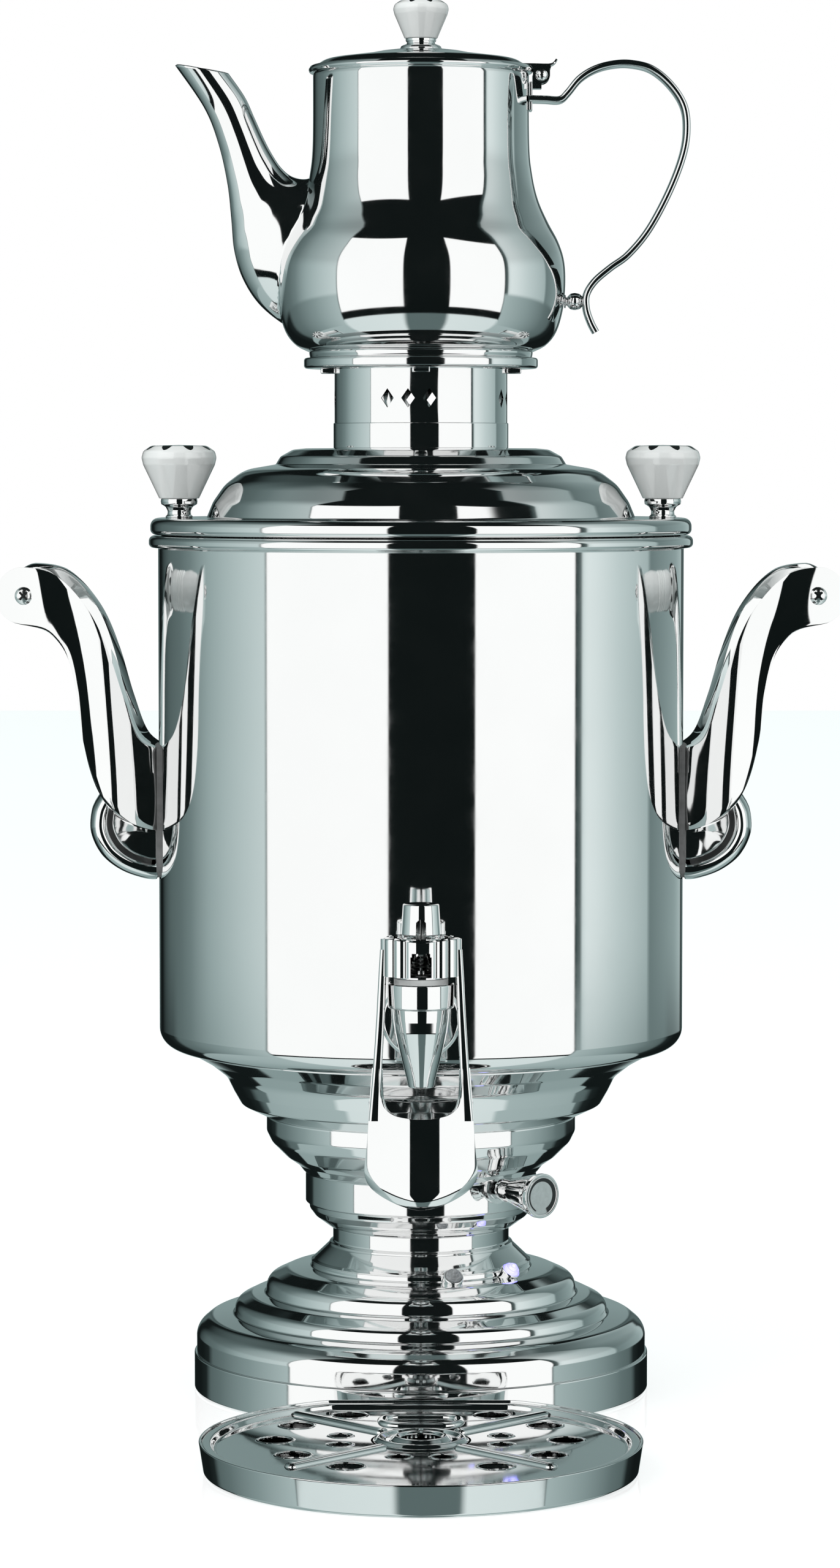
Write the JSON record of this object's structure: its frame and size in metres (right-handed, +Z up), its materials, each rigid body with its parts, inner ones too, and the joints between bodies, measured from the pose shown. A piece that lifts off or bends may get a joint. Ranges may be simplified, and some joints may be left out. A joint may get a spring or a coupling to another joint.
{
  "type": "samovar",
  "caption": "Electric samovar of polished steel: an urn with a lever tap, side handles, a lid with a steam crown that carries a teapot, and a loose drip tray in front.",
  "frame": {"origin": "middle of the base, on the surface it stands on", "axes": "+Z up along the urn's axis, -Y to the front where the tap and the drip tray are, +X to the right as seen from the front"},
  "size_m": [0.3818, 0.4088, 0.6348],
  "materials": {
    "polished_steel": "mirror-polished stainless steel",
    "plated_zinc": "bright plated casting",
    "plated_steel": "zinc plated",
    "heater_steel": "dull, heat darkened",
    "spring_steel": "drawn wire",
    "spreader_aluminium": "as rolled",
    "pin_brass": "satin",
    "grey_rubber": "matt",
    "white_silicone": "satin",
    "white_glaze": "glossy white glaze with dark sprigs",
    "black_plastic": "fine grain",
    "dial_paint": "gloss dark arc on silver",
    "pale_insulator": "matt",
    "blue_lens": "clear blue, lit",
    "clear_lens": "clear, unlit"
  },
  "bodies": {
    "stand": {"base_ring": "polished_steel", "base_plate": "plated_steel", "rubber_feet": "grey_rubber", "plate_screws": "plated_steel", "base_shell": "polished_steel", "waist_collar": "polished_steel", "control_housing": "polished_steel", "bowl_skirt": "polished_steel", "tank_shell": "polished_steel", "heat_spreader": "spreader_aluminium", "heating_element": "heater_steel", "dry_boil_cutout": "pale_insulator", "tie_rod": "plated_steel", "tie_nuts": "plated_steel", "terminal_block": "pale_insulator", "power_inlet": "black_plastic", "inlet_pins": "pin_brass", "thermostat_body": "pale_insulator", "shaft_bushing": "plated_steel", "power_lamp_lens": "blue_lens", "heat_lamp_lens": "clear_lens", "lamp_bezels": "plated_zinc", "handle_left": "plated_zinc", "handle_right": "plated_zinc", "handle_pads": "grey_rubber", "handle_bolts": "plated_steel", "handle_grip_left": "white_glaze", "handle_grip_right": "white_glaze", "grip_rods": "plated_steel", "grip_screws": "plated_steel", "tap_body": "plated_zinc", "tap_gaskets": "white_silicone", "tap_nut": "plated_steel", "tap_seal": "white_silicone", "tap_bonnet": "plated_zinc", "valve_spring": "spring_steel"},
    "lever": {"tap_lever": "plated_zinc", "pivot_pins": "plated_steel"},
    "valve": {"valve_stem": "plated_steel", "valve_plug": "white_silicone", "valve_cap": "plated_zinc"},
    "thermostat_control": {"thermostat_knob": "plated_zinc", "knob_dial": "dial_paint"},
    "lid": {"lid_dome": "polished_steel", "lid_collar": "polished_steel", "lid_knob_left": "white_glaze", "lid_knob_right": "white_glaze", "lid_knob_necks": "plated_zinc"},
    "crown": {"crown_sleeve": "polished_steel", "teapot_stand": "polished_steel"},
    "teapot": {"teapot_body": "polished_steel", "teapot_spout": "polished_steel", "teapot_handle": "polished_steel", "hinge_barrel": "polished_steel"},
    "teapot_cover": {"teapot_lid": "polished_steel", "teapot_lid_knob": "white_glaze", "lid_hinge_leaf": "polished_steel", "hinge_pin": "plated_steel"},
    "tray": {"drip_tray": "polished_steel"},
    "grid": {"drip_grid": "polished_steel"}
  },
  "joints": [
    {"name": "tap_lever_tip", "type": "hinge", "parent": "stand", "child": "lever", "pos_m": [0, -0.16, 0.213], "axis": [1, 0, 0], "range_deg": [0, 8], "stiffness_Nm_per_rad": 0.3, "springref_deg": -22.92},
    {"name": "tap_valve_lift", "type": "slide", "parent": "stand", "child": "valve", "axis": [0, 0, 1], "range_m": [0, 0.00125], "deforming": ["valve_spring"]},
    {"name": "thermostat_turn", "type": "hinge", "parent": "stand", "child": "thermostat_control", "pos_m": [0, 0, 0.098], "axis": [0.6428, -0.766, 0], "range_deg": [0, 270]},
    {"name": "lid_lift", "type": "slide", "parent": "stand", "child": "lid", "axis": [0, 0, 1], "range_m": [0, 0.12]},
    {"name": "crown_lift", "type": "slide", "parent": "lid", "child": "crown", "axis": [0, 0, 1], "range_m": [0, 0.04]},
    {"name": "teapot_lift", "type": "slide", "parent": "crown", "child": "teapot", "axis": [0, 0, 1], "range_m": [0, 0.1]},
    {"name": "teapot_lid_hinge", "type": "hinge", "parent": "teapot", "child": "teapot_cover", "pos_m": [0.0547, 0, 0.6007], "axis": [0, 1, 0], "range_deg": [0, 105]},
    {"name": "tray_pull", "type": "slide", "parent": "stand", "child": "tray", "axis": [0, -1, 0], "range_m": [0, 0.15]},
    {"name": "grid_lift", "type": "slide", "parent": "tray", "child": "grid", "axis": [0, 0, 1], "range_m": [0, 0.06]}
  ],
  "couplings": [
    {"joint": "tap_valve_lift", "follows": "tap_lever_tip", "m_per_rad": 0.0086}
  ]
}
